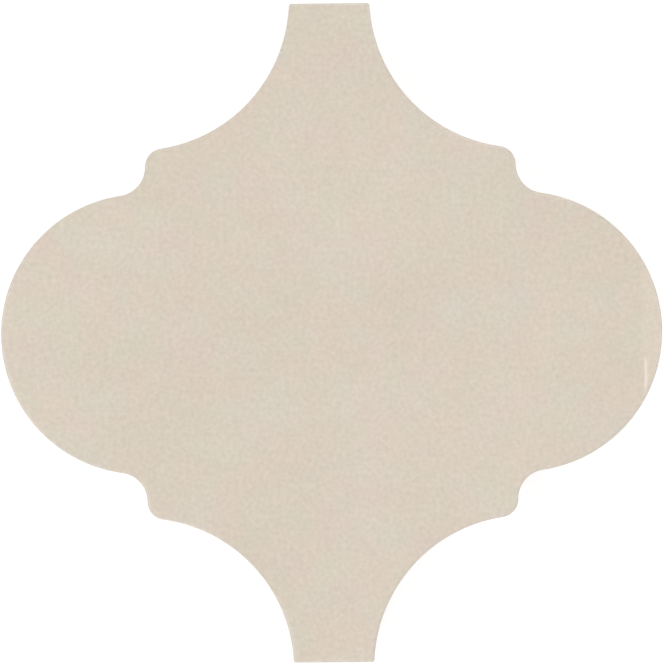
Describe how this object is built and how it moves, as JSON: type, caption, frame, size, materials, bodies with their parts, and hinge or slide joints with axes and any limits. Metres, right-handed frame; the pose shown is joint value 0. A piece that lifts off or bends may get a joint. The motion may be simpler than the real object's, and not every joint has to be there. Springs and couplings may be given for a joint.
{
  "type": "wall tile",
  "caption": "Lantern-shaped wall tile with round lobes, flat-ended necks and a small step between them, a plain glossy glaze and a ribbed back.",
  "frame": {"origin": "middle of the back, on the plane that the tile lies on", "axes": "+Z out of the glazed face, +Y along the necks, +X along the lobes"},
  "size_m": [0.12, 0.1196, 0.0085],
  "materials": {
    "glaze": "gloss"
  },
  "bodies": {
    "root": {"wall_tile": "glaze"}
  },
  "joints": []
}
